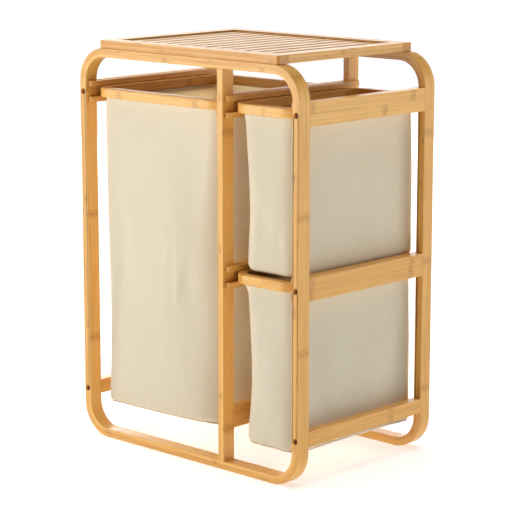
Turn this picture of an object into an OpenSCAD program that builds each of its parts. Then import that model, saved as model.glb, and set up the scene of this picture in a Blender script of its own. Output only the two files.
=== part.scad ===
// Three-bag laundry sorter: two bent-bamboo hoops joined by boards, a centre post front and back,
// a slatted top panel, and three fabric bags whose bentwood rims slide forward between wooden rails.
// Frame: origin at the middle of the floor rectangle, +X to the right, -Y to the front, +Z up. Millimetres.

/* [Hoops] */
// Overall width of a hoop
frame_w = 535; // [480:5:640]
// Overall depth, from the front face of one hoop to the back face of the other
frame_d = 350; // [300:5:420]
// Height of a hoop
hoop_h = 715; // [700:5:800]
// Thickness of the bent strip
strip_t = 15.5; // [12:0.5:18]
// Width of the bent strip, front to back
band_w = 26.5; // [24:0.5:34]
// Outer radius of a hoop's corners
hoop_r = 60; // [45:1:80]

/* [Divider] */
// Clear width of the bay for the two small bags
small_bay_w = 160.5; // [140:0.5:190]
// Thickness of the centre posts and of the boards between them
post_t = 12.5; // [11:0.5:16]

/* [Boards] */
// Height of the boards that carry rails
board_h = 40; // [36:1:50]
// Height of the bottom boards at the two sides
low_board_h = 26; // [20:1:34]
// Middle of the top boards above the floor
top_z = 635; // [620:1:650]
// Middle of the boards between the two small bags
mid_z = 342; // [320:1:360]
// Middle of the bottom side boards
low_z = 84; // [76:1:100]

/* [Rails] */
// How far a rail stands into its bay
rail_w = 10; // [8:0.5:12]
// Height of a rail
rail_h = 9.5; // [8:0.5:11]
// Slot between the upper and the lower rail of a pair
rail_gap = 19; // [18.5:0.5:20]
// Distance from the front face of the hoop to the end of a rail
rail_inset = 5.5; // [3:0.5:12]

/* [Bags] */
// Thickness of a bentwood rim
rim_t = 15; // [14:0.5:18]
// Height of a bentwood rim
rim_h = 17.5; // [15:0.5:17.5]
// Outer radius of a rim's corners
rim_r = 40; // [30:1:50]
// Gap between a rim and the bay on each side
rim_side_gap = 1.5; // [1:0.5:3]
// Distance from the face of the hoop to the rim, front and back
rim_inset = 12; // [8:1:20]
// Distance from the outside of a rim to the outside of its fabric
bag_inset = 9.6; // [9.6:0.1:10]
// Underside of the tall bag and of the lower bag above the floor
bag_floor_z = 57; // [50:1:66]

/* [Top panel] */
// Width of the panel
panel_w = 435; // [400:5:460]
// Thickness of the panel's frame
panel_t = 15; // [15:0.5:18]
// Width of the panel's frame members
panel_rail_w = 26; // [22:1:32]
// Number of slats
slat_count = 12; // [8:1:16]
// Gap between two slats
slat_gap = 10; // [6:0.5:14]
// How far the slats lie below the top of the panel's frame
slat_recess = 3; // [2:0.5:5]
// Thickness of a slat
slat_t = 8; // [6:0.5:8]

/* [Hidden] */
$fn = 72;
eps = 0.01;
cut = 1;                    // how far a cutting shape stands out of the surface it cuts
fit_gap = 0.05;             // radial clearance of a dowel or a screw in its hole
run_gap = 0.3;              // clearance under a sliding rim

bamboo = "#E3B878";
bamboo_dark = "#D2A464";
canvas = "#E6DAC2";
steel = "#8C8C88";

side_x = frame_w / 2 - strip_t / 2;
side_face = frame_w / 2 - strip_t;
post_x = side_face - small_bay_w - post_t / 2;
post_left = post_x - post_t / 2;
post_right = post_x + post_t / 2;
band_y = frame_d / 2 - band_w / 2;
board_l = frame_d - 2 * band_w;

bolt_head_d = 9.4;
bolt_head_h = 4;
bolt_shank_d = 6;
bolt_seat = 9;              // depth of a bolt's counterbore
bolt_recess_d = 10;
bolt_reach = 32;            // how far a bolt runs into the end of a board
bolt_spots = [[-1, top_z], [-1, low_z], [1, top_z], [1, mid_z], [1, low_z]];

screw_head_d = 8;
screw_head_h = 3;
screw_shank_d = 4;
screw_seat = 4;
screw_recess_d = 8.4;
post_screw_reach = 30;
panel_screw_d = 3.5;
panel_screw_reach = 10;
panel_screw_x = panel_w / 2 - 60;
panel_screw_y = frame_d / 2 - 12.5;

dowel_d = 6;
dowel_l = 28;
dowel_step = 10;            // height of a centre board's dowels above and below its middle
rail_dowel_d = 5;
rail_dowel_in = 6;          // length in the rail
rail_dowel_out = 5;         // length in the board
rail_dowel_y = 100;
rail_corner = 5;            // rounding of a rail's free corners

panel_d = frame_d - 5;
panel_corner = 5;
slat_tongue = 6;            // length of a slat's end in the groove
panel_open_w = panel_w - 2 * panel_rail_w;
panel_open_d = panel_d - 2 * panel_rail_w;
slat_pitch = panel_open_w / slat_count;
slat_w = slat_pitch - slat_gap;
slat_z = hoop_h + panel_t - slat_recess - slat_t;

bag_wall = 2;
groove_d = 7;               // depth of the groove under a rim
groove_side = 0.2;          // clearance beside the fabric in the groove
small_rim_w = small_bay_w - 2 * rim_side_gap;
tall_rim_w = post_left + side_face - 2 * rim_side_gap;
rim_l = frame_d - 2 * rim_inset;
tall_x = (post_left - side_face) / 2;
small_x = (post_right + side_face) / 2;
upper_bag_clear = 2;        // gap between the upper bag and the rim below it

// Underside of a rim that runs in the slot whose middle is at z.
function rim_z(z) = z - rail_gap / 2 + run_gap;

// Side boards: name, middle x, middle z, height.
SIDE_BOARDS = [
    ["left_top_board", -side_x, top_z, board_h],
    ["left_bottom_board", -side_x, low_z, low_board_h],
    ["right_top_board", side_x, top_z, board_h],
    ["right_mid_board", side_x, mid_z, board_h],
    ["right_bottom_board", side_x, low_z, low_board_h]
];
// Centre boards: name, middle z. The bottom one is level with the side boards' lower edges.
centre_low_z = low_z - low_board_h / 2 + board_h / 2;
CENTRE_BOARDS = [
    ["centre_top_board", top_z],
    ["centre_mid_board", mid_z],
    ["centre_bottom_board", centre_low_z]
];
// Rail pairs: name, x of the face that carries them, middle z, direction into the bay.
RAIL_PAIRS = [
    ["left", -side_face, top_z, 1],
    ["centre_left", post_left, top_z, -1],
    ["centre_right", post_right, top_z, 1],
    ["right", side_face, top_z, -1],
    ["centre_mid", post_right, mid_z, 1],
    ["right_mid", side_face, mid_z, -1]
];
RAIL_LEVELS = [["lower_rail", -1], ["upper_rail", 1]];

// ---- shared shapes ----

// Rectangle with four round corners, centred.
module rounded_rect(w, h, r) {
    square([w - 2 * r, h], center = true);
    square([w, h - 2 * r], center = true);
    for (sx = [-1, 1], sy = [-1, 1])
        translate([sx * (w / 2 - r), sy * (h / 2 - r)]) circle(r);
}

// Screw or bolt along +Z with its head's seat at z = 0 and the head below it.
module screw(head_d, head_h, shank_d, length) {
    difference() {
        translate([0, 0, -head_h]) cylinder(d = head_d, h = head_h);
        translate([0, 0, -head_h - cut]) cylinder(d = head_d / 2, h = head_h / 2 + cut, $fn = 6);
    }
    translate([0, 0, -eps]) cylinder(d = shank_d, h = length + eps);
}

// Hole for such a screw: a counterbore of depth seat, and a shank hole.
module screw_hole(recess_d, seat, shank_d, length) {
    translate([0, 0, -seat - cut]) cylinder(d = recess_d, h = seat + cut);
    translate([0, 0, -eps]) cylinder(d = shank_d + 2 * fit_gap, h = length + eps);
}

// Bolt position b at the front (s = -1) or back (s = 1) hoop, with +Z running into the board.
module at_bolt(b, s) {
    translate([b[0] * side_x, s * (frame_d / 2 - bolt_seat), b[1]]) rotate([s * 90, 0, 0]) children();
}
module bolt_holes() {
    for (b = bolt_spots, s = [-1, 1])
        at_bolt(b, s) screw_hole(bolt_recess_d, bolt_seat, bolt_shank_d, band_w - bolt_seat + bolt_reach);
}

// Post screw positions: top = 1 or bottom = 0, front s = -1 or back s = 1.
module at_post_screw(top, s) {
    translate([post_x, s * band_y, top == 1 ? hoop_h - screw_seat : screw_seat])
        rotate([top * 180, 0, 0]) children();
}
module post_screw_holes() {
    for (top = [0, 1], s = [-1, 1])
        at_post_screw(top, s)
            screw_hole(screw_recess_d, screw_seat, screw_shank_d, strip_t - screw_seat + post_screw_reach);
}

// Panel screws: up through the hoops' top bars into the panel's frame.
module at_panel_screw(sx, sy) {
    translate([sx * panel_screw_x, sy * panel_screw_y, hoop_h - strip_t + screw_seat]) children();
}
module panel_screw_holes() {
    for (sx = [-1, 1], sy = [-1, 1])
        at_panel_screw(sx, sy)
            screw_hole(screw_recess_d, screw_seat, panel_screw_d, strip_t - screw_seat + panel_screw_reach);
}

// Dowels of the centre boards, along Y across the joints between post and board.
module centre_dowel_set(z, d, extra) {
    for (sy = [-1, 1], sz = [-1, 1])
        translate([post_x, sy * board_l / 2, z + sz * dowel_step])
            rotate([90, 0, 0]) cylinder(d = d, h = dowel_l + extra, center = true);
}

// Dowels of one rail, along X from the rail into what carries it.
module rail_dowel_pair(face, z, dir, d, extra) {
    for (sy = [-1, 1])
        translate([face + dir * (rail_dowel_in - rail_dowel_out) / 2, sy * rail_dowel_y, z])
            rotate([0, 90, 0]) cylinder(d = d, h = rail_dowel_in + rail_dowel_out + extra, center = true);
}
function rail_z(pair, level) = pair[2] + level * (rail_gap + rail_h) / 2;
module all_rail_dowels(d, extra) {
    for (p = RAIL_PAIRS, l = RAIL_LEVELS) rail_dowel_pair(p[1], rail_z(p, l[1]), p[3], d, extra);
}

// Dowels of the panel's corner joints, along Y.
module panel_dowel_set(d, extra) {
    for (sx = [-1, 1], sy = [-1, 1])
        translate([sx * (panel_w / 2 - panel_rail_w / 2), sy * panel_open_d / 2, hoop_h + panel_t / 2])
            rotate([90, 0, 0]) cylinder(d = d, h = dowel_l + extra, center = true);
}

// ---- frame ----

// One bent hoop; s = -1 is the front, s = 1 the back.
module hoop(s) {
    color(bamboo)
    difference() {
        translate([0, s * band_y + band_w / 2, hoop_h / 2]) rotate([90, 0, 0]) linear_extrude(band_w)
            difference() {
                rounded_rect(frame_w, hoop_h, hoop_r);
                rounded_rect(frame_w - 2 * strip_t, hoop_h - 2 * strip_t, hoop_r - strip_t);
            }
        bolt_holes();
        post_screw_holes();
        panel_screw_holes();
    }
}
module front_hoop() hoop(-1);
module back_hoop() hoop(1);

// Upright between a hoop's top and bottom bars.
module centre_post(s) {
    color(bamboo)
    difference() {
        translate([post_left, s * band_y - band_w / 2, strip_t])
            cube([post_t, band_w, hoop_h - 2 * strip_t]);
        post_screw_holes();
        for (b = CENTRE_BOARDS) centre_dowel_set(b[1], dowel_d + 2 * fit_gap, 2 * fit_gap);
    }
}
module front_centre_post() centre_post(-1);
module back_centre_post() centre_post(1);

// Board between the two hoops, flush with the bent strips.
module side_board(b) {
    color(bamboo_dark)
    difference() {
        translate([b[1], 0, b[2]]) cube([strip_t, board_l, b[3]], center = true);
        bolt_holes();
        all_rail_dowels(rail_dowel_d + 2 * fit_gap, 2 * fit_gap);
    }
}

// Board between the two centre posts.
module centre_board(b) {
    color(bamboo_dark)
    difference() {
        translate([post_x, 0, b[1]]) cube([post_t, board_l, board_h], center = true);
        centre_dowel_set(b[1], dowel_d + 2 * fit_gap, 2 * fit_gap);
        all_rail_dowels(rail_dowel_d + 2 * fit_gap, 2 * fit_gap);
    }
}

// Rail on the face of a board, its two free corners rounded.
module rail(pair, level) {
    l = frame_d - 2 * rail_inset;
    z = rail_z(pair, level);
    color(bamboo_dark)
    difference() {
        translate([pair[1], 0, z - rail_h / 2]) mirror([pair[3] < 0 ? 1 : 0, 0, 0])
            linear_extrude(rail_h) {
                translate([0, -l / 2]) square([rail_w - rail_corner, l]);
                translate([0, -l / 2 + rail_corner]) square([rail_w, l - 2 * rail_corner]);
                for (s = [-1, 1])
                    translate([rail_w - rail_corner, s * (l / 2 - rail_corner)]) circle(rail_corner);
            }
        all_rail_dowels(rail_dowel_d + 2 * fit_gap, 2 * fit_gap);
    }
}

// ---- top panel ----

// Front or back member of the panel's frame, full width, grooved for the slats.
module panel_cross_rail(s) {
    color(bamboo)
    difference() {
        intersection() {
            translate([0, 0, hoop_h]) linear_extrude(panel_t) rounded_rect(panel_w, panel_d, panel_corner);
            translate([-panel_w / 2, s * (panel_open_d + panel_rail_w) / 2 - panel_rail_w / 2, hoop_h])
                cube([panel_w, panel_rail_w, panel_t]);
        }
        translate([-panel_open_w / 2, s * panel_open_d / 2 - slat_tongue, slat_z])
            cube([panel_open_w, 2 * slat_tongue, slat_t]);
        panel_screw_holes();
        panel_dowel_set(dowel_d + 2 * fit_gap, 2 * fit_gap);
    }
}
module panel_front_rail() panel_cross_rail(-1);
module panel_back_rail() panel_cross_rail(1);

// Left or right member, between the cross rails.
module panel_side_rail(s) {
    color(bamboo)
    difference() {
        translate([s * (panel_open_w + panel_rail_w) / 2, 0, hoop_h + panel_t / 2])
            cube([panel_rail_w, panel_open_d, panel_t], center = true);
        panel_dowel_set(dowel_d + 2 * fit_gap, 2 * fit_gap);
    }
}
module panel_left_rail() panel_side_rail(-1);
module panel_right_rail() panel_side_rail(1);

// Slat number i, from the left, its ends in the grooves.
module panel_slat(i) {
    color(bamboo)
    translate([-panel_open_w / 2 + (i - 0.5) * slat_pitch, 0, slat_z + slat_t / 2])
        cube([slat_w, panel_open_d + 2 * slat_tongue, slat_t], center = true);
}

// ---- fasteners ----

module frame_bolts() {
    color(steel)
    for (b = bolt_spots, s = [-1, 1])
        at_bolt(b, s) screw(bolt_head_d, bolt_head_h, bolt_shank_d, band_w - bolt_seat + bolt_reach);
}
module post_screws() {
    color(steel)
    for (top = [0, 1], s = [-1, 1])
        at_post_screw(top, s)
            screw(screw_head_d, screw_head_h, screw_shank_d, strip_t - screw_seat + post_screw_reach);
}
module panel_screws() {
    color(steel)
    for (sx = [-1, 1], sy = [-1, 1])
        at_panel_screw(sx, sy)
            screw(screw_head_d, screw_head_h, panel_screw_d, strip_t - screw_seat + panel_screw_reach);
}
module centre_dowels() color(bamboo_dark) for (b = CENTRE_BOARDS) centre_dowel_set(b[1], dowel_d, 0);
module panel_dowels() color(bamboo_dark) panel_dowel_set(dowel_d, 0);
module rail_dowels() color(bamboo_dark) all_rail_dowels(rail_dowel_d, 0);

// ---- bags ----

// Bentwood ring of width w around x, its underside at z, with a groove that holds the fabric's hem.
module rim(x, w, z) {
    color(bamboo)
    translate([x, 0, z])
    difference() {
        linear_extrude(rim_h) difference() {
            rounded_rect(w, rim_l, rim_r);
            rounded_rect(w - 2 * rim_t, rim_l - 2 * rim_t, rim_r - rim_t);
        }
        translate([0, 0, -cut]) linear_extrude(groove_d + cut) difference() {
            inset_rect(w, bag_inset - groove_side);
            inset_rect(w, bag_inset + bag_wall + groove_side);
        }
    }
}

// Outline of a rim of width w, set in by the distance inset.
module inset_rect(w, inset) rounded_rect(w - 2 * inset, rim_l - 2 * inset, rim_r - inset);

// Open-topped fabric bag under such a rim, from its floor at low up into the rim's groove.
module bag(x, w, z, low) {
    color(canvas)
    translate([x, 0, low])
    difference() {
        linear_extrude(z + groove_d - low) inset_rect(w, bag_inset);
        translate([0, 0, bag_wall]) linear_extrude(z + groove_d - low) inset_rect(w, bag_inset + bag_wall);
    }
}
module tall_rim() rim(tall_x, tall_rim_w, rim_z(top_z));
module upper_rim() rim(small_x, small_rim_w, rim_z(top_z));
module lower_rim() rim(small_x, small_rim_w, rim_z(mid_z));
module tall_bag() bag(tall_x, tall_rim_w, rim_z(top_z), bag_floor_z);
module upper_bag() bag(small_x, small_rim_w, rim_z(top_z), rim_z(mid_z) + rim_h + upper_bag_clear);
module lower_bag() bag(small_x, small_rim_w, rim_z(mid_z), bag_floor_z);

// ---- nodes ----

front_hoop();
back_hoop();
front_centre_post();
back_centre_post();
for (b = SIDE_BOARDS) side_board(b);
for (b = CENTRE_BOARDS) centre_board(b);
for (p = RAIL_PAIRS, l = RAIL_LEVELS) rail(p, l[1]);
panel_front_rail();
panel_back_rail();
panel_left_rail();
panel_right_rail();
for (i = [1 : slat_count]) panel_slat(i);
frame_bolts();
post_screws();
panel_screws();
centre_dowels();
panel_dowels();
rail_dowels();
tall_rim();
tall_bag();
upper_rim();
upper_bag();
lower_rim();
lower_bag();
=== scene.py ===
"""Laundry sorter: three fabric bags on bentwood rims, sliding in a bamboo frame with a slatted top.

The CAD nodes keep their shape and get bamboo and steel materials and eased edges. The three bags are sewn
fabric, lofted from the rims, hung by cloth simulation and finished with seams. Everything is in metres in
the part's frame: origin on the floor in the middle, +X right, -Y front, +Z up.
"""

import math

import bpy
import numpy as np
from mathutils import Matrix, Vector, noise


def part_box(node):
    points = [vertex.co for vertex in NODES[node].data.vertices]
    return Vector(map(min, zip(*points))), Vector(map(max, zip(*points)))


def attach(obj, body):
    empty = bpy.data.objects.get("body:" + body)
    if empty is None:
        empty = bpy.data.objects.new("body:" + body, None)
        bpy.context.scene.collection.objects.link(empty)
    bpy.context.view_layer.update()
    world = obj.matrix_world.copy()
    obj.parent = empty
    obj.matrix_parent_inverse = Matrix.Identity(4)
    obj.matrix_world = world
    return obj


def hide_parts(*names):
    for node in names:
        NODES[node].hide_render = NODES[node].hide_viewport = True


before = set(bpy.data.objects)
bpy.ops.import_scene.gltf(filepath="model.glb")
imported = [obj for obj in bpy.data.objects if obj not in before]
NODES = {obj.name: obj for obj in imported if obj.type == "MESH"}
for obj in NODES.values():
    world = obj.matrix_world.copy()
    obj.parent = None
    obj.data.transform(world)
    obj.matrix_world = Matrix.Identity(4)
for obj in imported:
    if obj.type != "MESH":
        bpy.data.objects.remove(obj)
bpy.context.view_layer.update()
scene = bpy.context.scene
MM = 0.001

# ---------------------------------------------------------------- settings

# Camera: where it looks, from where, and its lens.
CAMERA_TARGET = Vector((-0.0109, 0.0188, 0.3359))
CAMERA_AZIMUTH = 43.55
CAMERA_ELEVATION = 11.08
CAMERA_DISTANCE = 3.698
CAMERA_LENS = 142.55

# Light: the wall's brightness near the horizon and overhead, and where it changes (sine of the elevation).
# Towards DIM_SIDE the wall falls to DIM_SHARE of that, between two cosines of the angle from it.
WALL_LIGHT, CEILING_LIGHT = 0.75, 0.2
WALL_FROM, WALL_TO = 0.12, 0.5
WALL_COLOUR = (1.0, 0.98, 0.95, 1)
DIM_SIDE, DIM_FROM, DIM_TO, DIM_SHARE = (0.77, -0.64, 0.0), -0.1, 0.8, 0.15
OVERHEAD_POWER = 1.5
FLOOR_GLOW = 0.46
OVERHEAD_SPREAD = math.radians(50)
FLOOR_REACH = 60.0

# Soft boxes: power in watts, place, and width and height. They all look at LAMP_TARGET.
LAMPS = {"key": (63, (-2.0, -3.2, 1.0), (2.2, 2.0)),
         "left": (62, (-3.7, 1.1, 1.0), (3.0, 1.8)),
         "back": (36, (-2.6, 3.0, 1.0), (3.0, 1.8)),
         "side": (25, (3.2, 2.2, 1.0), (2.0, 2.0))}
LAMP_TARGET = (0.0, 0.0, 0.35)

# Sizes of the wood: bend radii and band of the hoops and rims, and its glued layers.
HOOP_RADIUS = 60 * MM
RIM_RADIUS = 40 * MM
RIM_BAND = 15 * MM
LAYERS = 4                     # glued layers of a bent strip
BOARD_LAYER = 5.2 * MM
POST_LAYER = 4.3 * MM
PANEL_LAYER = 5 * MM
PANEL_FLOOR = 0.7              # the height that the panel's layers are counted from
ONE_PIECE = 100 * MM           # a strip width that leaves a band of bamboo without a lengthwise joint
NO_JOINT = 1.3                 # a strip width past the reach of the shifted coordinates, for the slats
THICK_STRIP = 30 * MM          # one strip of a rail or a dowel
WIDE_STRIP = 40 * MM           # one strip of the panel's side rails and of the rims

# Fabric
CLOTH_GRID = 9 * MM            # size of a mesh cell of a bag
CLOTH_THICKNESS = 1.1 * MM
CLOTH_FRAMES = 22
CLOTH_CAP = 9 * MM             # how far the simulation may move a point
WALL_SHARE = 0.4               # the share kept of its movement of the walls
SHARE_RINGS = 3                # rings of the floor over which that share goes back to 1
SEAM_RADIUS = 0.8 * MM
SEAM_SIDES = 8
THREAD_PITCH = 0.95 * MM       # one thread of the weave, a little coarser than the real cloth

# Shape of the bags. Corner radii are given just below the rim, at BAG_MIDDLE and at the floor.
BAG_MIDDLE = 0.6
TOP_GAP = 0.4 * MM             # between the edge of the cloth and the top of the bag's CAD solid
BELOW_RIM = 18 * MM            # how soon the corners take those radii
WAIST, BELLY = 0.6 * MM, 1.0 * MM
BACK_BULGE = 4.5 * MM
TALL_CORNERS = {"front_left": (25 * MM, 28 * MM, 10 * MM), "front_right": (32 * MM, 88 * MM, 80 * MM),
                "back": (16 * MM, 12 * MM, 10 * MM)}
LOWER_CORNERS = {"front_left": (46 * MM, 57 * MM, 43 * MM), "front_right": (34 * MM, 44 * MM, 36 * MM),
                 "back": (11 * MM, 9 * MM, 9 * MM)}
UPPER_CORNERS = {"front_left": (36 * MM, 50 * MM, 42 * MM), "front_right": (34 * MM, 44 * MM, 36 * MM),
                 "back": (12 * MM, 10 * MM, 10 * MM)}
CORNER_PUSH = 14 * MM          # how far the tall bag's slack front corner has fallen in
PUSH_REACH = 75 * MM
LOWER_BAG_SAG = 7 * MM
UPPER_BAG_SAG = -3 * MM        # the upper bag clears the rim below it
UPPER_BAG_CAP = 2.5 * MM
FLOOR_ROUNDING = 9 * MM
ROUNDING_STEPS = 3
FOLD_DEPTH, CREASE_DEPTH = 3.0 * MM, 1.3 * MM

# Creases of the front walls: both ends as (right of the middle, below the rim), half width, and depth.
TALL_CREASES = [((0.084, 0.08), (0.088, 0.60), 0.034, -3.6 * MM),
                ((0.122, 0.10), (0.122, 0.52), 0.020, 1.0 * MM),
                ((-0.050, 0.42), (-0.115, 0.57), 0.016, 1.2 * MM)]
UPPER_CREASES = [((0.024, 0.025), (-0.052, 0.110), 0.011, -2.0 * MM),
                 ((0.032, 0.15), (0.022, 0.27), 0.010, -2.0 * MM),
                 ((-0.020, 0.16), (-0.034, 0.27), 0.012, 1.2 * MM)]
LOWER_CREASES = [((-0.012, 0.09), (-0.030, 0.28), 0.012, -1.6 * MM),
                 ((0.030, 0.03), (0.027, 0.26), 0.011, -1.8 * MM)]

# Edge easing of the bamboo, by group
EASE_HOOP = 1.6 * MM
EASE_BOARD = 1.2 * MM
EASE_SLAT = 1.0 * MM
EASE_RIM = 2.2 * MM

# Bamboo colours, linear
LIGHT_BAMBOO = (0.84, 0.47, 0.115, 1)
DEEP_BAMBOO = (0.62, 0.275, 0.042, 1)
NODE_BROWN = (0.30, 0.135, 0.04, 1)
GLUE_BROWN = (0.40, 0.20, 0.065, 1)
END_BROWN = (0.36, 0.20, 0.085, 1)
CANVAS_LIGHT = (0.94, 0.74, 0.52, 1)
CANVAS_DEEP = (0.80, 0.585, 0.375, 1)
# Seam colours, far darker than the canvas: painted shade of the underside of each bag's rounded bottom edge
SEAM_SHADE_LIGHT = (0.50, 0.38, 0.245, 1)
SEAM_SHADE_DEEP = (0.36, 0.26, 0.155, 1)


# ---------------------------------------------------------------- node graphs

class Graph:
    """A small helper that builds a material's node tree from expressions."""

    def __init__(self, name):
        self.material = bpy.data.materials.new(name)
        self.material.use_nodes = True
        self.tree = self.material.node_tree
        self.tree.nodes.clear()
        self.output = self.node("ShaderNodeOutputMaterial")
        self.shader = self.node("ShaderNodeBsdfPrincipled")
        self.tree.links.new(self.shader.outputs[0], self.output.inputs[0])

    def node(self, kind, **properties):
        made = self.tree.nodes.new(kind)
        for key, value in properties.items():
            setattr(made, key, value)
        return made

    def put(self, socket, value):
        if isinstance(value, bpy.types.NodeSocket):
            self.tree.links.new(value, socket)
        else:
            socket.default_value = value

    def math(self, operation, *values):
        made = self.node("ShaderNodeMath", operation=operation)
        for socket, value in zip(made.inputs, values):
            self.put(socket, value)
        return made.outputs[0]

    def add(self, a, b):
        return self.math("ADD", a, b)

    def sub(self, a, b):
        return self.math("SUBTRACT", a, b)

    def mul(self, a, b):
        return self.math("MULTIPLY", a, b)

    def smooth(self, value, low, high, to_low=0.0, to_high=1.0):
        made = self.node("ShaderNodeMapRange", interpolation_type="SMOOTHSTEP")
        for socket, v in zip(made.inputs, (value, low, high, to_low, to_high)):
            self.put(socket, v)
        return made.outputs[0]

    def vector(self, x, y, z):
        made = self.node("ShaderNodeCombineXYZ")
        for socket, value in zip(made.inputs, (x, y, z)):
            self.put(socket, value)
        return made.outputs[0]

    def split(self, vector):
        made = self.node("ShaderNodeSeparateXYZ")
        self.put(made.inputs[0], vector)
        return made.outputs[0], made.outputs[1], made.outputs[2]

    def noise(self, vector, scale=1.0, detail=2.0, roughness=0.5):
        made = self.node("ShaderNodeTexNoise", noise_dimensions="3D")
        self.put(made.inputs["Vector"], vector)
        made.inputs["Scale"].default_value = scale
        made.inputs["Detail"].default_value = detail
        made.inputs["Roughness"].default_value = roughness
        made.inputs["Distortion"].default_value = 0.0
        return made.outputs[0]

    def random(self, value):
        made = self.node("ShaderNodeTexWhiteNoise", noise_dimensions="1D")
        self.put(made.inputs["W"], value)
        return made.outputs[0]

    def mix(self, factor, a, b):
        made = self.node("ShaderNodeMix", data_type="RGBA")
        self.put(made.inputs[0], factor)
        self.put(made.inputs[6], a)
        self.put(made.inputs[7], b)
        return made.outputs[2]

    def limit(self, value, low=0.0, high=1.0):
        return self.math("MINIMUM", self.math("MAXIMUM", value, low), high)

    def coordinates(self):
        return self.node("ShaderNodeTexCoord")

    def seed(self):
        made = self.node("ShaderNodeAttribute", attribute_type="OBJECT", attribute_name="grain_seed")
        return made.outputs["Fac"]

    def bump(self, height, strength, distance):
        made = self.node("ShaderNodeBump")
        made.inputs["Strength"].default_value = strength
        made.inputs["Distance"].default_value = distance
        self.put(made.inputs["Height"], height)
        return made.outputs[0]


# ---------------------------------------------------------------- bamboo

def bamboo(name, coordinates, strip_across, strip_thick, node_every=0.26, ends=True, deeper=0.0):
    """Laminated bamboo. coordinates(graph) gives the distances along, across and through the wood, in
    metres. strip_across and strip_thick are the sizes of its glued strips in the last two directions, and
    deeper moves its tone from the light colour towards the deep one."""
    g = Graph(name)
    along, across, through, end_face = coordinates(g)
    seed = g.seed()

    row = g.math("FLOOR", g.math("DIVIDE", across, strip_across))
    layer = g.math("FLOOR", g.math("DIVIDE", through, strip_thick))
    strip = g.add(g.add(g.mul(row, 7.13), g.mul(layer, 3.37)), g.mul(seed, 61.7))
    luck = g.random(strip)
    luck_b = g.random(g.add(strip, 41.9))

    # Fibres: long streaks, finer and coarser, given by how many go to a metre each way.
    shifted = g.add(along, g.mul(luck, 3.0))

    def streaks(lengthwise, sideways, detail=2, roughness=0.5):
        at = g.vector(g.mul(shifted, lengthwise), g.mul(across, sideways), g.mul(through, sideways))
        return g.noise(at, detail=detail, roughness=roughness)
    fine = streaks(14, 1500, detail=3, roughness=0.6)
    broad = streaks(5, 330)
    cloud = streaks(9, 28)

    # Nodes: a mottled brown band across each strip, with a thin wavy line in it.
    wave = g.noise(g.vector(g.mul(across, 130), g.mul(through, 130), strip), detail=2)
    wobble = g.mul(g.sub(wave, 0.5), 8 * MM)
    place = g.add(g.math("DIVIDE", g.add(along, wobble), node_every), g.mul(luck_b, 5.0))
    away = g.mul(g.math("ABSOLUTE", g.sub(g.math("FRACT", place), 0.5)), node_every)
    line = g.smooth(away, 0.4 * MM, 2.2 * MM, 1.0, 0.0)
    zone = g.smooth(away, 1 * MM, 13 * MM, 1.0, 0.0)
    speckle = streaks(330, 420, detail=3)
    node_mark = g.add(g.mul(line, 0.16), g.mul(zone, g.smooth(speckle, 0.40, 0.72, 0.0, 0.48)))

    # Glue lines between strips.
    def glue(distance, size):
        edge = g.math("ABSOLUTE", g.sub(g.math("FRACT", g.math("DIVIDE", distance, size)), 0.5))
        return g.smooth(g.mul(g.sub(0.5, edge), size), 0.1 * MM, 0.45 * MM, 1.0, 0.0)

    joint = g.math("MAXIMUM", glue(across, strip_across), glue(through, strip_thick))

    tone = g.add(g.mul(g.smooth(broad, 0.3, 0.7), 0.42), g.mul(g.smooth(fine, 0.35, 0.75), 0.34))
    tone = g.add(g.add(tone, deeper), g.mul(g.sub(luck, 0.5), 0.5))
    tone = g.add(tone, g.mul(g.sub(cloud, 0.5), 0.6))
    colour = g.mix(g.limit(tone), LIGHT_BAMBOO, DEEP_BAMBOO)
    colour = g.mix(g.mul(zone, 0.4), colour, DEEP_BAMBOO)
    colour = g.mix(g.math("MINIMUM", node_mark, 0.8), colour, NODE_BROWN)
    colour = g.mix(g.mul(joint, 0.45), colour, GLUE_BROWN)
    height = g.sub(g.sub(g.mul(fine, 0.25), g.mul(joint, 0.5)), g.mul(g.sub(line, g.mul(zone, 0.4)), 0.3))

    if ends:
        # End grain: the cut bundles show as small dark dots.
        cells = g.node("ShaderNodeTexVoronoi", feature="F1")
        g.put(cells.inputs["Vector"], g.vector(g.mul(across, 1300), g.mul(through, 1300), 0.0))
        cells.inputs["Scale"].default_value = 1.0
        dots = g.smooth(cells.outputs["Distance"], 0.12, 0.34, 1.0, 0.0)
        grain = g.mix(g.mul(dots, 0.6), DEEP_BAMBOO, END_BROWN)
        colour = g.mix(end_face, colour, grain)

    g.put(g.shader.inputs["Base Color"], colour)
    g.put(g.shader.inputs["Roughness"], g.smooth(fine, 0.2, 0.8, 0.34, 0.48))
    g.shader.inputs["Specular IOR Level"].default_value = 0.4
    g.shader.inputs["Coat Weight"].default_value = 0.2
    g.shader.inputs["Coat Roughness"].default_value = 0.22
    g.put(g.shader.inputs["Normal"], g.bump(height, 0.22, 0.4 * MM))
    return g.material


def straight(along_axis, across_axis, through_axis, shift=(0.0, 0.0, 0.0)):
    """Coordinates of a straight piece: which of X, Y, Z runs along, across and through it. shift is added
    to them, so that glue lines fall inside the piece and not on its faces."""
    def coordinates(g):
        source = g.coordinates()
        position = g.split(source.outputs["Object"])
        normal = g.split(source.outputs["Normal"])
        picked = [g.add(position["XYZ".index(a)], s) for a, s in
                  zip((along_axis, across_axis, through_axis), shift)]
        facing = g.smooth(g.math("ABSOLUTE", normal["XYZ".index(along_axis)]), 0.6, 0.9)
        return picked[0], picked[1], picked[2], facing
    return coordinates


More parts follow.
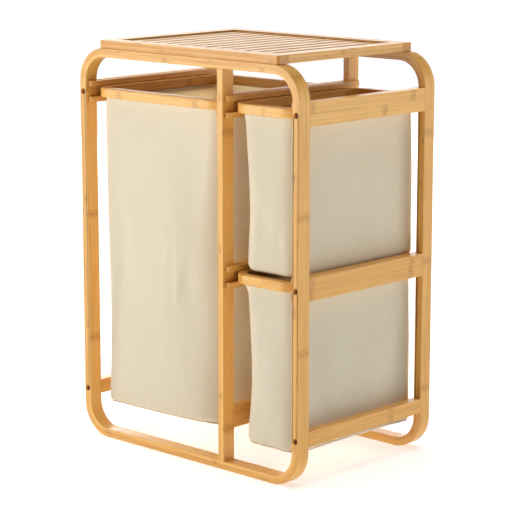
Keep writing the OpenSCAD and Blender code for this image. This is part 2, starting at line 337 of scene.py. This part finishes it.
def bent(half_across, half_up, radius, thickness, centre, plane="XZ"):
    """Coordinates of a strip bent into a rounded rectangle in the given plane: the distance around it, the
    position across its band and the depth below its outer face, which lies in the middle of a layer."""
    layer = thickness / LAYERS
    straight_a = half_across - radius
    straight_b = half_up - radius
    mid_radius = radius - thickness / 2
    total = 2 * (straight_a + straight_b + mid_radius * math.pi / 2)

    def coordinates(g):
        position = g.split(g.coordinates().outputs["Object"])
        a = g.sub(position["XYZ".index(plane[0])], centre[0])
        b = g.sub(position["XYZ".index(plane[1])], centre[1])
        band = position["XYZ".index(({"X", "Y", "Z"} - set(plane)).pop())]
        size_a, size_b = g.math("ABSOLUTE", a), g.math("ABSOLUTE", b)
        over_a = g.math("MAXIMUM", g.sub(size_a, straight_a), 0.0)
        over_b = g.math("MAXIMUM", g.sub(size_b, straight_b), 0.0)
        angle = g.math("ARCTAN2", over_a, over_b)
        quarter = g.add(g.add(g.math("MINIMUM", size_a, straight_a), g.mul(angle, mid_radius)),
                        g.sub(straight_b, g.math("MINIMUM", size_b, straight_b)))
        below = g.math("LESS_THAN", b, 0.0)
        around = g.add(g.mul(quarter, g.sub(1.0, g.mul(below, 2.0))), g.mul(below, total))
        around = g.mul(around, g.math("SIGN", a))
        reach = g.math("SQRT", g.add(g.mul(over_a, over_a), g.mul(over_b, over_b)))
        depth = g.add(g.sub(radius, reach), layer / 2)
        return around, band, depth, 0.0
    return coordinates


def steel():
    """Dark bronzed steel of the screw heads."""
    g = Graph("screw_steel")
    at = g.coordinates().outputs["Object"]
    blotch = g.noise(at, scale=420, detail=3)
    g.put(g.shader.inputs["Base Color"], g.mix(blotch, (0.20, 0.115, 0.06, 1), (0.36, 0.22, 0.12, 1)))
    g.put(g.shader.inputs["Roughness"], g.smooth(blotch, 0.3, 0.7, 0.3, 0.5))
    g.shader.inputs["Metallic"].default_value = 1.0
    g.put(g.shader.inputs["Normal"], g.bump(g.noise(at, scale=2600, detail=1), 0.15, 0.2 * MM))
    return g.material


# ---------------------------------------------------------------- canvas

def canvas(name, light, deep):
    """Plain-weave cotton and linen canvas. The weave follows the cloth map, which is in metres."""
    g = Graph(name)
    uv = g.node("ShaderNodeUVMap", uv_map="cloth").outputs[0]
    u, v, _ = g.split(uv)
    per_metre = 1 / THREAD_PITCH

    # Threads run slightly uneven.
    drift_u = g.mul(g.sub(g.noise(g.vector(g.mul(u, 60), g.mul(v, 12), 0.0), detail=2), 0.5), 1.2)
    drift_v = g.mul(g.sub(g.noise(g.vector(g.mul(u, 12), g.mul(v, 60), 5.0), detail=2), 0.5), 1.2)
    tu = g.add(g.mul(u, per_metre), drift_u)
    tv = g.add(g.mul(v, per_metre), drift_v)
    wave_u = g.math("SINE", g.mul(tu, math.pi))
    wave_v = g.math("SINE", g.mul(tv, math.pi))
    checker = g.mul(wave_u, wave_v)
    warp = g.math("ABSOLUTE", wave_u)
    weft = g.math("ABSOLUTE", wave_v)
    over = g.smooth(checker, -0.4, 0.4)
    weave = g.add(g.mul(over, warp), g.mul(g.sub(1.0, over), weft))

    # Slubs: some threads are thicker and darker for a stretch.
    slub_u = g.noise(g.vector(g.math("FLOOR", tu), g.mul(v, 26), 3.0), detail=1)
    slub_v = g.noise(g.vector(g.math("FLOOR", tv), g.mul(u, 26), 9.0), detail=1)
    slub = g.add(g.smooth(slub_u, 0.58, 0.8), g.smooth(slub_v, 0.58, 0.8))
    cloud = g.noise(g.vector(g.mul(u, 9), g.mul(v, 9), 1.0), detail=3)
    mottle = g.noise(g.vector(g.mul(u, 260), g.mul(v, 260), 2.0), detail=2, roughness=0.7)

    tone = g.add(g.mul(g.sub(1.0, weave), 0.42), g.mul(slub, 0.22))
    tone = g.add(tone, g.mul(g.sub(cloud, 0.5), 0.35))
    tone = g.add(tone, g.mul(g.sub(mottle, 0.5), 0.75))
    g.put(g.shader.inputs["Base Color"], g.mix(g.limit(tone), light, deep))
    g.put(g.shader.inputs["Roughness"], g.smooth(weave, 0.0, 1.0, 0.95, 0.82))
    g.shader.inputs["Specular IOR Level"].default_value = 0.18
    g.shader.inputs["Subsurface Weight"].default_value = 0.9
    g.shader.inputs["Subsurface Radius"].default_value = (0.95, 0.85, 0.72)
    g.shader.inputs["Subsurface Scale"].default_value = 6 * MM
    g.shader.inputs["Sheen Weight"].default_value = 0.2
    g.shader.inputs["Sheen Roughness"].default_value = 0.55
    g.shader.inputs["Sheen Tint"].default_value = (1.0, 0.95, 0.86, 1)
    height = g.add(g.add(weave, g.mul(slub, 0.5)), g.mul(mottle, 0.7))
    g.put(g.shader.inputs["Normal"], g.bump(height, 0.4, 0.35 * MM))
    return g.material


# ---------------------------------------------------------------- CAD nodes

def corners(node):
    low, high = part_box(node)
    return low, high, (low + high) / 2


def dress(node, material, ease=0.0, seed=0.0):
    """Gives a CAD node its material and eases its sharp edges."""
    piece = NODES[node]
    piece.data.materials.clear()
    piece.data.materials.append(material)
    piece["grain_seed"] = float(seed)
    if ease > 0:
        weld = piece.modifiers.new("weld", "WELD")
        weld.merge_threshold = 0.01 * MM
        bevel = piece.modifiers.new("ease", "BEVEL")
        bevel.width = ease
        bevel.segments = 3
        bevel.limit_method = "ANGLE"
        bevel.angle_limit = math.radians(38)
        bevel.use_clamp_overlap = True
        bevel.harden_normals = True


def number(name):
    return int(name.rsplit("_", 1)[1])


slat_names = sorted((n for n in NODES if n.startswith("panel_slat_")), key=number)
board_names = [n for n in NODES if n.endswith("_board")]
rail_names = [n for n in NODES if n.endswith(("_lower_rail", "_upper_rail"))]
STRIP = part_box("left_top_board")[1].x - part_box("left_top_board")[0].x


def dress_hoops():
    low, high, mid = corners("front_hoop")
    half_across, half_up = (high.x - low.x) / 2, (high.z - low.z) / 2
    around_hoop = bent(half_across, half_up, HOOP_RADIUS, STRIP, (mid.x, mid.z), "XZ")
    hoop_wood = bamboo("hoop_bamboo", around_hoop, ONE_PIECE, STRIP / LAYERS, node_every=0.23, ends=False,
                       deeper=0.1)
    for k, node in enumerate(("front_hoop", "back_hoop")):
        dress(node, hoop_wood, EASE_HOOP, 1.0 + 4 * k)


def dress_posts():
    post_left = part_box("front_centre_post")[0].x
    layout = straight("Z", "Y", "X", (0, 0.5, 1 - post_left))
    post_wood = bamboo("post_bamboo", layout, ONE_PIECE, POST_LAYER, deeper=-0.1)
    for k, node in enumerate(("front_centre_post", "back_centre_post")):
        dress(node, post_wood, EASE_BOARD, 11.0 + 3 * k)


def dress_boards():
    """Tall boards are two strips wide with the joint in the middle, and low ones are one strip wide."""
    for k, node in enumerate(board_names):
        low, high, mid = corners(node)
        two_strips = high.z - low.z > 30 * MM
        width = 21 * MM if two_strips else 28 * MM
        shift = -mid.z + (width if two_strips else 1.5 * width)
        layout = straight("Y", "Z", "X", (0, shift, -low.x + 1))
        wood = bamboo(node + "_bamboo", layout, width, BOARD_LAYER)
        dress(node, wood, EASE_BOARD, 20.0 + 2.7 * k)


def dress_rails():
    rail_wood = bamboo("rail_bamboo", straight("Y", "Z", "X", (0, 1, 1)), THICK_STRIP, THICK_STRIP)
    for k, node in enumerate(rail_names):
        dress(node, rail_wood, EASE_BOARD, 50.0 + 1.9 * k)


def dress_panel():
    rail_shift = (0, 1, -PANEL_FLOOR - PANEL_LAYER / 2)
    cross = bamboo("panel_cross_bamboo", straight("X", "Y", "Z", rail_shift), ONE_PIECE, PANEL_LAYER,
                   deeper=0.45)
    side = bamboo("panel_side_bamboo", straight("Y", "X", "Z", rail_shift), WIDE_STRIP, PANEL_LAYER)
    slat = bamboo("panel_slat_bamboo", straight("Y", "X", "Z", (0, 1, -PANEL_FLOOR)), NO_JOINT, WIDE_STRIP)
    for k, node in enumerate(("panel_front_rail", "panel_back_rail")):
        dress(node, cross, EASE_BOARD, 80.0 + 3 * k)
    for k, node in enumerate(("panel_left_rail", "panel_right_rail")):
        dress(node, side, EASE_BOARD, 90.0 + 3 * k)
    for k, node in enumerate(slat_names):
        dress(node, slat, EASE_SLAT, 100.0 + 2.3 * k)


def dress_rims():
    for k, node in enumerate(("tall_rim", "upper_rim", "lower_rim")):
        low, high, mid = corners(node)
        half_across, half_deep = (high.x - low.x) / 2, (high.y - low.y) / 2
        ring = bent(half_across, half_deep, RIM_RADIUS, RIM_BAND, (mid.x, mid.y), "XY")
        wood = bamboo(node + "_bamboo", ring, WIDE_STRIP, RIM_BAND / LAYERS, node_every=0.25, ends=False)
        dress(node, wood, EASE_RIM, 140.0 + 5 * k)


def dress_small_parts():
    bronze = steel()
    for node in ("frame_bolts", "post_screws", "panel_screws"):
        dress(node, bronze)
    peg = bamboo("dowel_bamboo", straight("Y", "X", "Z"), THICK_STRIP, THICK_STRIP)
    for node in ("centre_dowels", "panel_dowels", "rail_dowels"):
        dress(node, peg, 0.0, 170.0)


# ---------------------------------------------------------------- bags

def smoothstep(x):
    x = min(max(x, 0.0), 1.0)
    return x * x * (3 - 2 * x)


def loop_stations(half_w, half_d, radius):
    """How a bag's outline is divided: cells on half a front, on a corner and on half a side."""
    counts = {"front": max(3, round((half_w - radius) / CLOTH_GRID)),
              "corner": max(4, round(radius * math.pi / 2 / (CLOTH_GRID * 0.75))),
              "side": max(3, round((half_d - radius) / CLOTH_GRID))}
    return [(kind, i / count) for kind, count in counts.items() for i in range(count)]


def quarter_outline(quarter, half_w, half_d, radius):
    """Points and outward normals of a rounded rectangle's quarter, from the middle of its front."""
    points = []
    for kind, t in quarter:
        if kind == "front":
            points.append((t * (half_w - radius), -half_d, 0.0, -1.0))
        elif kind == "corner":
            angle = -math.pi / 2 + t * math.pi / 2
            nx, ny = math.cos(angle), math.sin(angle)
            points.append((half_w - radius + radius * nx, -half_d + radius + radius * ny, nx, ny))
        else:
            points.append((half_w, (t - 1) * (half_d - radius), 1.0, 0.0))
    return points


def outline(quarter, half_w, half_d, radii):
    """Points and outward normals of a rounded rectangle, anticlockwise from the middle of the front. The
    radii are those of its front right, back right, back left and front left corners."""
    quarters = [quarter_outline(quarter, half_w, half_d, radius) for radius in radii]
    front_right, back_right, back_left, front_left = quarters
    points = list(front_right)
    points.append((half_w, 0.0, 1.0, 0.0))
    points += [(x, -y, nx, -ny) for x, y, nx, ny in reversed(back_right[1:])]
    points.append((0.0, half_d, 0.0, 1.0))
    points += [(-x, -y, -nx, -ny) for x, y, nx, ny in back_left[1:]]
    points.append((-half_w, 0.0, -1.0, 0.0))
    points += [(-x, y, -nx, ny) for x, y, nx, ny in reversed(front_left[1:])]
    return points


def along_curve(share, values):
    """A value that goes smoothly through three given ones, at the rim, at BAG_MIDDLE and at the floor."""
    top, middle, floor = values
    if share < BAG_MIDDLE:
        return top + (middle - top) * smoothstep(share / BAG_MIDDLE)
    return middle + (floor - middle) * smoothstep((share - BAG_MIDDLE) / (1 - BAG_MIDDLE))


def crease_height(creases, across, below):
    """How far the creases of a front wall lift it at a point, given from its middle and below the rim."""
    lift = 0.0
    for (x0, z0), (x1, z1), width, depth in creases:
        dx, dz = x1 - x0, z1 - z0
        along = ((across - x0) * dx + (below - z0) * dz) / (dx * dx + dz * dz)
        held = min(max(along, 0.0), 1.0)
        away = math.hypot(across - x0 - held * dx, below - z0 - held * dz)
        fade = smoothstep(held / 0.3) * smoothstep((1 - held) / 0.25)
        lift += depth * math.exp(-(away / width) ** 2) * (0.25 + 0.75 * fade)
    return lift


class Bag:
    """One bag: the mesh of its wall and floor, in the frame, before and after it is hung."""

    def __init__(self, name, rim, cad_bag, seed, radii, creases, push=0.0, sag=0.0, cap=CLOTH_CAP):
        self.name, self.seed, self.radii, self.creases = name, seed, radii, creases
        self.push, self.cap = push, cap
        low, high, mid = corners(cad_bag)
        rim_low, rim_high, _ = corners(rim)
        self.mid = mid
        self.top = high.z - TOP_GAP
        self.hem = rim_low.z
        self.bottom = low.z + CLOTH_THICKNESS - sag
        self.half_w = (high.x - low.x) / 2 - CLOTH_THICKNESS
        self.half_d = (high.y - low.y) / 2 - CLOTH_THICKNESS
        self.radius = RIM_RADIUS - (rim_high.x - rim_low.x - high.x + low.x) / 2 - CLOTH_THICKNESS
        self.quarter = loop_stations(self.half_w, self.half_d, self.radius)

    def share(self, z):
        """How far down the wall height z is: 0 at the hem, 1 at the floor."""
        return min(max((self.hem - z) / (self.hem - self.bottom), 0.0), 1.0)

    def level(self, z):
        """Half width, half depth and the four corner radii of the cloth at height z."""
        share = self.share(z)
        sway = BELLY * smoothstep((share - 0.7) / 0.3) - WAIST * math.sin(math.pi * min(share / 0.88, 1.0))
        settled = smoothstep((self.hem - z) / BELOW_RIM)
        radii = []
        for corner in ("front_right", "back", "back", "front_left"):
            free = along_curve(share, self.radii[corner])
            radii.append(self.radius + (free - self.radius) * settled)
        return self.half_w + sway, self.half_d + sway, radii

    def fold(self, x, y, z, nx, ny):
        """Outward movement of a point of the wall: long upright folds, creases, and a bulge behind."""
        share = self.share(z)
        free = smoothstep(share / 0.3) * (1 - 0.85 * smoothstep((share - 0.85) / 0.15))
        around = x * -ny + y * nx
        long_fold = noise.noise(Vector((around * 11.0 + self.seed, z * 1.2, self.seed * 1.7 + nx * 2.1)))
        slant = z + abs(around) * 0.8
        small = noise.noise(Vector((slant * 26.0, around * 5.0 + self.seed, 3.3 + ny)))
        calm = 0.45 if ny < -0.5 else 1.0
        out = free * calm * (FOLD_DEPTH * long_fold + CREASE_DEPTH * share ** 2 * small)
        out += max(-ny, 0.0) * crease_height(self.creases, x, self.hem - z) * smoothstep(share / 0.06)
        return out + BACK_BULGE * max(ny, 0.0) * smoothstep(share / 0.5)

    def wall_ring(self, z, inward=0.0):
        ring = outline(self.quarter, *self.level(max(z, self.bottom)))
        fallen = self.push * smoothstep(self.share(z) / 0.45)
        points = []
        for x, y, nx, ny in ring:
            out = self.fold(x, y, z, nx, ny) - inward
            near = math.exp(-((x - self.half_w) ** 2 + (y + self.half_d) ** 2) / (2 * PUSH_REACH ** 2))
            aside = fallen * near * math.sqrt(0.5)
            points.append((x + nx * out - aside, y + ny * out + aside, z))
        return points

    def build(self):
        """Rings of points from the top down the wall, round the bottom edge and across the floor."""
        turn = self.bottom + FLOOR_ROUNDING
        rows = round((self.top - turn) / CLOTH_GRID)
        self.rings = [self.wall_ring(self.top + (turn - self.top) * i / rows) for i in range(rows + 1)]
        for i in range(1, ROUNDING_STEPS + 1):
            angle = math.pi / 2 * i / ROUNDING_STEPS
            self.rings.append(self.wall_ring(turn - FLOOR_ROUNDING * math.sin(angle),
                                             FLOOR_ROUNDING * (1 - math.cos(angle))))
        self.wall_rings = len(self.rings)
        half_w, half_d, radii = self.level(self.bottom)
        steps = int((half_w - FLOOR_ROUNDING - CLOTH_GRID * 0.8) / CLOTH_GRID)
        for i in range(1, steps + 1):
            inward = FLOOR_ROUNDING + CLOTH_GRID * i
            within = [max(radius - inward, 0.5 * MM) for radius in radii]
            ring = outline(self.quarter, half_w - inward, half_d - inward, within)
            self.rings.append([(x, y, self.bottom) for x, y, _, _ in ring])
        count = len(self.rings[0])
        points = [(x + self.mid.x, y + self.mid.y, z) for ring in self.rings for x, y, z in ring]
        faces = []
        for r in range(len(self.rings) - 1):
            for i in range(count):
                a, b = r * count + i, r * count + (i + 1) % count
                faces.append((a, a + count, b + count, b))
        self.wall_faces = (self.wall_rings - 1) * count
        last, half = (len(self.rings) - 1) * count, count // 2
        faces.append((last, last + count - 1, last + 1))
        for i in range(1, half - 1):
            faces.append((last + i, last + count - i, last + count - i - 1, last + i + 1))
        faces.append((last + half - 1, last + half + 1, last + half))
        self.points, self.faces, self.count = np.array(points), faces, count
        self.flat = self.points.copy()

    def hang(self):
        """Hangs the cloth from its hem by simulation, each point kept within a cap of where it began."""
        mesh = bpy.data.meshes.new(self.name + "_hang")
        mesh.from_pydata([tuple(p) for p in self.points], [], self.faces)
        piece = bpy.data.objects.new(self.name + "_hang", mesh)
        scene.collection.objects.link(piece)
        held = piece.vertex_groups.new(name="held")
        rows_held = sum(1 for r in range(self.wall_rings) if self.rings[r][0][2] > self.hem - 2 * MM)
        held.add(list(range(rows_held * self.count)), 1.0, "REPLACE")
        cloth = piece.modifiers.new("cloth", "CLOTH")
        s = cloth.settings
        s.quality = 6
        s.mass = 0.12
        s.tension_stiffness = s.compression_stiffness = 60
        s.shear_stiffness = 25
        s.bending_stiffness = 6
        s.air_damping = 4
        s.vertex_group_mass = "held"
        s.pin_stiffness = 1.0
        cloth.collision_settings.use_collision = False
        cloth.collision_settings.use_self_collision = False
        cloth.point_cache.frame_start, cloth.point_cache.frame_end = 1, CLOTH_FRAMES
        for f in range(1, CLOTH_FRAMES + 1):
            scene.frame_set(f)
        shown = piece.evaluated_get(bpy.context.evaluated_depsgraph_get())
        moved = np.array([v.co for v in shown.data.vertices])
        scene.frame_set(1)
        bpy.data.objects.remove(piece)
        bpy.data.meshes.remove(mesh)
        step = moved - self.points
        for r in range(len(self.rings)):
            kept = WALL_SHARE + (1 - WALL_SHARE) * smoothstep((r - self.wall_rings + 1) / SHARE_RINGS)
            step[r * self.count:(r + 1) * self.count] *= kept
        length = np.linalg.norm(step, axis=1, keepdims=True)
        print(f"{self.name}: simulation moved its points {length.max() / MM:.1f} mm at most before the cap")
        step *= np.minimum(1.0, self.cap / np.maximum(length, 1e-9))
        self.points = self.points + step

    def piece(self, name, faces, rings):
        """A mesh of some of the faces, with the cloth map along and down the cloth in metres."""
        used = sorted({i for f in faces for i in f})
        place = {v: i for i, v in enumerate(used)}
        mesh = bpy.data.meshes.new(name)
        mesh.from_pydata([tuple(self.points[v]) for v in used], [], [[place[v] for v in f] for f in faces])
        layer = mesh.uv_layers.new(name="cloth")
        girth = np.cumsum([0.0] + [float(np.linalg.norm(self.flat[i + 1] - self.flat[i]))
                                   for i in range(self.count - 1)])
        whole = girth[-1] + float(np.linalg.norm(self.flat[0] - self.flat[self.count - 1]))
        for polygon, face in zip(mesh.polygons, faces):
            columns = [v % self.count for v in face]
            wraps = rings == "wall" and max(columns) - min(columns) > self.count / 2
            for loop, v in zip(polygon.loop_indices, face):
                if rings == "wall":
                    u = girth[v % self.count] + (whole if wraps and v % self.count < self.count / 2 else 0.0)
                    layer.data[loop].uv = (u, self.flat[v][2])
                else:
                    layer.data[loop].uv = (self.flat[v][0], self.flat[v][1])
        mesh.shade_smooth()
        made = bpy.data.objects.new(name, mesh)
        scene.collection.objects.link(made)
        return made

    def seam(self, name, ring):
        """A narrow rolled seam along one ring of the cloth."""
        path = self.points[ring * self.count:(ring + 1) * self.count]
        up = np.array([0, 0, 1.0])
        points, faces = [], []
        centre = path.mean(axis=0)
        for i, p in enumerate(path):
            ahead = path[(i + 1) % len(path)] - path[i - 1]
            ahead = ahead / np.linalg.norm(ahead)
            out = np.array([ahead[1], -ahead[0], 0.0])
            out = out / np.linalg.norm(out)
            if np.dot(out, p - centre) < 0:
                out = -out
            for k in range(SEAM_SIDES):
                angle = 2 * math.pi * k / SEAM_SIDES
                across = out * SEAM_RADIUS * math.cos(angle)
                points.append(tuple(p + across + up * SEAM_RADIUS * 1.3 * math.sin(angle)))
        for i in range(len(path)):
            for k in range(SEAM_SIDES):
                a, b = i * SEAM_SIDES, ((i + 1) % len(path)) * SEAM_SIDES
                faces.append((a + k, a + (k + 1) % SEAM_SIDES, b + (k + 1) % SEAM_SIDES, b + k))
        mesh = bpy.data.meshes.new(name)
        mesh.from_pydata(points, [], faces)
        layer = mesh.uv_layers.new(name="cloth")
        for polygon in mesh.polygons:
            for loop, v in zip(polygon.loop_indices, polygon.vertices):
                layer.data[loop].uv = (v // SEAM_SIDES * CLOTH_GRID, v % SEAM_SIDES * 1.5 * MM)
        mesh.shade_smooth()
        made = bpy.data.objects.new(name, mesh)
        scene.collection.objects.link(made)
        return made


def thicken(piece):
    solid = piece.modifiers.new("cloth_thickness", "SOLIDIFY")
    solid.thickness = CLOTH_THICKNESS
    solid.offset = -1.0
    smooth = piece.modifiers.new("smooth", "SUBSURF")
    smooth.levels = smooth.render_levels = 1


def make_bag(name, rim, cad_bag, body, finishes, **shape):
    fabric, painted_seam_shade = finishes
    bag = Bag(name, rim, cad_bag, **shape)
    bag.build()
    bag.hang()
    wall = bag.piece(name + "_wall", bag.faces[:bag.wall_faces], "wall")
    floor = bag.piece(name + "_floor", bag.faces[bag.wall_faces:], "floor")
    seam = bag.seam(name + "_floor_seam", bag.wall_rings - 2)
    # The seam gets the dark finish: painted shade along the bag's rounded bottom edge
    for piece, finish in ((wall, fabric), (floor, fabric), (seam, painted_seam_shade)):
        piece.data.materials.append(finish)
        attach(piece, body)
    thicken(wall)
    thicken(floor)
    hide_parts(cad_bag)


# ---------------------------------------------------------------- stage

def area_light(name, power, place, size):
    data = bpy.data.lights.new(name, "AREA")
    data.shape = "RECTANGLE"
    data.size, data.size_y = size
    data.energy = power
    lamp = bpy.data.objects.new(name, data)
    lamp.location = place
    lamp.rotation_mode = "QUATERNION"
    lamp.rotation_quaternion = (Vector(LAMP_TARGET) - Vector(place)).to_track_quat("-Z", "Y")
    lamp.visible_camera = False
    scene.collection.objects.link(lamp)


def make_floor():
    mesh = bpy.data.meshes.new("floor")
    mesh.from_pydata([(-FLOOR_REACH, -FLOOR_REACH, 0), (FLOOR_REACH, -FLOOR_REACH, 0),
                      (FLOOR_REACH, FLOOR_REACH, 0), (-FLOOR_REACH, FLOOR_REACH, 0)], [], [(0, 1, 2, 3)])
    floor = bpy.data.objects.new("floor", mesh)
    scene.collection.objects.link(floor)
    g = Graph("floor_paint")
    blotch = g.noise(g.coordinates().outputs["Object"], scale=1.5, detail=2)
    g.put(g.shader.inputs["Base Color"], g.mix(blotch, (0.87, 0.87, 0.865, 1), (0.89, 0.89, 0.885, 1)))
    g.shader.inputs["Roughness"].default_value = 0.9
    g.shader.inputs["Specular IOR Level"].default_value = 0.1
    g.shader.inputs["Emission Color"].default_value = (1, 1, 1, 1)
    g.shader.inputs["Emission Strength"].default_value = FLOOR_GLOW
    floor.data.materials.append(g.material)


def make_world():
    """A studio wall that is bright low down, all round, and darker above."""
    world = bpy.data.worlds.new("studio")
    world.use_nodes = True
    tree = world.node_tree
    direction = tree.nodes.new("ShaderNodeTexCoord")
    parts = tree.nodes.new("ShaderNodeSeparateXYZ")
    ramp = tree.nodes.new("ShaderNodeMapRange")
    ramp.interpolation_type = "SMOOTHSTEP"
    for socket, value in zip(list(ramp.inputs)[1:5], (WALL_FROM, WALL_TO, WALL_LIGHT, CEILING_LIGHT)):
        socket.default_value = value
    tree.links.new(direction.outputs["Generated"], parts.inputs[0])
    tree.links.new(parts.outputs[2], ramp.inputs[0])
    facing = tree.nodes.new("ShaderNodeVectorMath")
    facing.operation = "DOT_PRODUCT"
    facing.inputs[1].default_value = DIM_SIDE
    tree.links.new(direction.outputs["Generated"], facing.inputs[0])
    dim = tree.nodes.new("ShaderNodeMapRange")
    dim.interpolation_type = "SMOOTHSTEP"
    for socket, value in zip(list(dim.inputs)[1:5], (DIM_FROM, DIM_TO, 1.0, DIM_SHARE)):
        socket.default_value = value
    tree.links.new(facing.outputs["Value"], dim.inputs[0])
    both = tree.nodes.new("ShaderNodeMath")
    both.operation = "MULTIPLY"
    tree.links.new(ramp.outputs[0], both.inputs[0])
    tree.links.new(dim.outputs[0], both.inputs[1])
    background = tree.nodes["Background"]
    background.inputs["Color"].default_value = WALL_COLOUR
    tree.links.new(both.outputs[0], background.inputs["Strength"])
    scene.world = world


def make_stage():
    make_floor()
    make_world()
    scene.view_settings.view_transform = "Standard"
    overhead = bpy.data.lights.new("overhead", "SUN")
    overhead.energy = OVERHEAD_POWER
    overhead.angle = OVERHEAD_SPREAD
    lamp = bpy.data.objects.new("overhead", overhead)
    lamp.location = (0, 0, 4)
    scene.collection.objects.link(lamp)
    for name, (power, place, size) in LAMPS.items():
        area_light(name, power, place, size)


def make_camera():
    data = bpy.data.cameras.new("camera")
    data.lens = CAMERA_LENS
    data.sensor_width = 36
    data.clip_end = 200
    camera = bpy.data.objects.new("camera", data)
    a, e = math.radians(CAMERA_AZIMUTH), math.radians(CAMERA_ELEVATION)
    back = Vector((math.sin(a) * math.cos(e), -math.cos(a) * math.cos(e), math.sin(e)))
    camera.location = CAMERA_TARGET + back * CAMERA_DISTANCE
    camera.rotation_mode = "QUATERNION"
    camera.rotation_quaternion = (-back).to_track_quat("-Z", "Y")
    scene.collection.objects.link(camera)
    scene.camera = camera


# ---------------------------------------------------------------- build

make_camera()
make_stage()
dress_hoops()
dress_posts()
dress_boards()
dress_rails()
dress_panel()
dress_rims()
dress_small_parts()
fabric = canvas("canvas_cloth", CANVAS_LIGHT, CANVAS_DEEP)
# Dark seam finish: painted shade along the bottom edge of each bag
painted_seam_shade = canvas("seam_painted_shade", SEAM_SHADE_LIGHT, SEAM_SHADE_DEEP)
make_bag("tall_bag_cloth", "tall_rim", "tall_bag", "tall_hamper", (fabric, painted_seam_shade),
         seed=2.3, radii=TALL_CORNERS, creases=TALL_CREASES, push=CORNER_PUSH)
make_bag("upper_bag_cloth", "upper_rim", "upper_bag", "upper_hamper", (fabric, painted_seam_shade),
         seed=7.9, radii=UPPER_CORNERS, creases=UPPER_CREASES, sag=UPPER_BAG_SAG, cap=UPPER_BAG_CAP)
make_bag("lower_bag_cloth", "lower_rim", "lower_bag", "lower_hamper", (fabric, painted_seam_shade),
         seed=14.2, radii=LOWER_CORNERS, creases=LOWER_CREASES, sag=LOWER_BAG_SAG)
